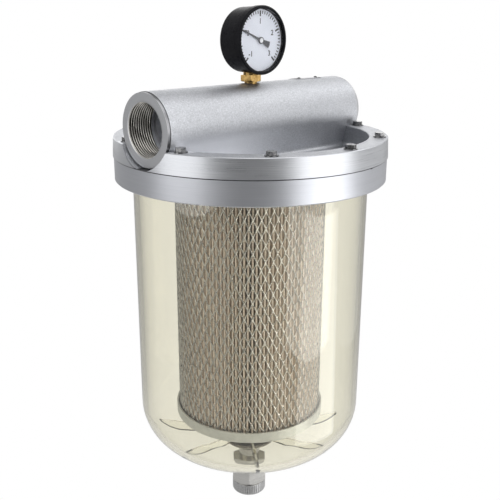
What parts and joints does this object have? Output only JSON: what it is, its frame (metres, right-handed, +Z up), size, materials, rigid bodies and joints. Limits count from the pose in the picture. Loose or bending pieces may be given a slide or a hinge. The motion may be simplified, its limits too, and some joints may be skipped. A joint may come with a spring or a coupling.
{
  "type": "fuel filter separator",
  "caption": "Round cast filter head with in-line female pipe ports, clear bowl on a bolted ring, pleated cartridge inside, dial gauge above and drain cock below.",
  "frame": {"origin": "where the axis of the two pipe ports crosses the vertical axis of the bowl", "axes": "+X along the pipe from the inlet to the outlet, -Y the side that the gauge faces, +Z up"},
  "size_m": [0.2516, 0.2522, 0.4922],
  "materials": {
    "cast_metal": "sand-cast, satin",
    "ring_metal": "turned, satin",
    "bolt_steel": "bright",
    "bowl_clear": "clear, faint yellow tint",
    "seal_rubber": "matte",
    "gasket_rubber": "matte",
    "jacket_metal": "galvanised",
    "filter_paper": "matte, folded",
    "cap_metal": "pale grey",
    "core_metal": "galvanised",
    "tie_steel": "zinc plated",
    "drain_steel": "polished",
    "knob_metal": "knurled, dull",
    "plunger_steel": "turned",
    "gauge_black": "satin black",
    "gauge_glass": "clear",
    "dial_white": "matte white with black scale",
    "pointer_black": "matte black",
    "brass": "turned"
  },
  "bodies": {
    "housing": {"head_casting": "cast_metal", "clamp_ring": "ring_metal", "flange_bolts": "bolt_steel", "flange_washers": "bolt_steel", "bowl": "bowl_clear", "bowl_seal": "seal_rubber", "element_end_seal": "seal_rubber", "tie_seal": "seal_rubber", "drain_gasket": "gasket_rubber", "element_jacket": "jacket_metal", "element_pleats": "filter_paper", "element_top_cap": "cap_metal", "element_bottom_cap": "cap_metal", "element_core": "core_metal", "tie_rod": "tie_steel", "tie_washer": "tie_steel", "tie_nut": "tie_steel", "drain_nut": "drain_steel", "drain_body": "drain_steel", "gauge_case": "gauge_black", "gauge_bezel": "gauge_black", "gauge_window": "gauge_glass", "gauge_dial": "dial_white", "gauge_stem": "brass", "movement_plate": "brass", "bourdon_tube": "brass"},
    "pointer": {"gauge_pointer": "pointer_black", "pointer_arbor": "brass"},
    "sector": {"sector_gear": "brass"},
    "knob": {"drain_knob": "knob_metal"},
    "plunger": {"drain_plunger": "plunger_steel"}
  },
  "joints": [
    {"name": "pointer_turn", "type": "hinge", "parent": "housing", "child": "pointer", "pos_m": [0, -0.0123, 0.0684], "axis": [0, 1, 0], "range_deg": [-67.5, 202.5], "stiffness_Nm_per_rad": 0.00002},
    {"name": "sector_turn", "type": "hinge", "parent": "housing", "child": "sector", "pos_m": [-0.00923, -0.0072, 0.05917], "axis": [0, 1, 0], "range_deg": [-27.01, 9.01]},
    {"name": "knob_turn", "type": "hinge", "parent": "housing", "child": "knob", "pos_m": [0, 0, -0.388], "axis": [0, 0, -1], "range_deg": [0, 360]},
    {"name": "plunger_slide", "type": "slide", "parent": "housing", "child": "plunger", "axis": [0, 0, -1], "range_m": [0, 0.003]}
  ],
  "couplings": [
    {"joint": "sector_turn", "follows": "pointer_turn", "ratio": -0.13333},
    {"joint": "plunger_slide", "follows": "knob_turn", "m_per_rad": 0.00047746}
  ]
}
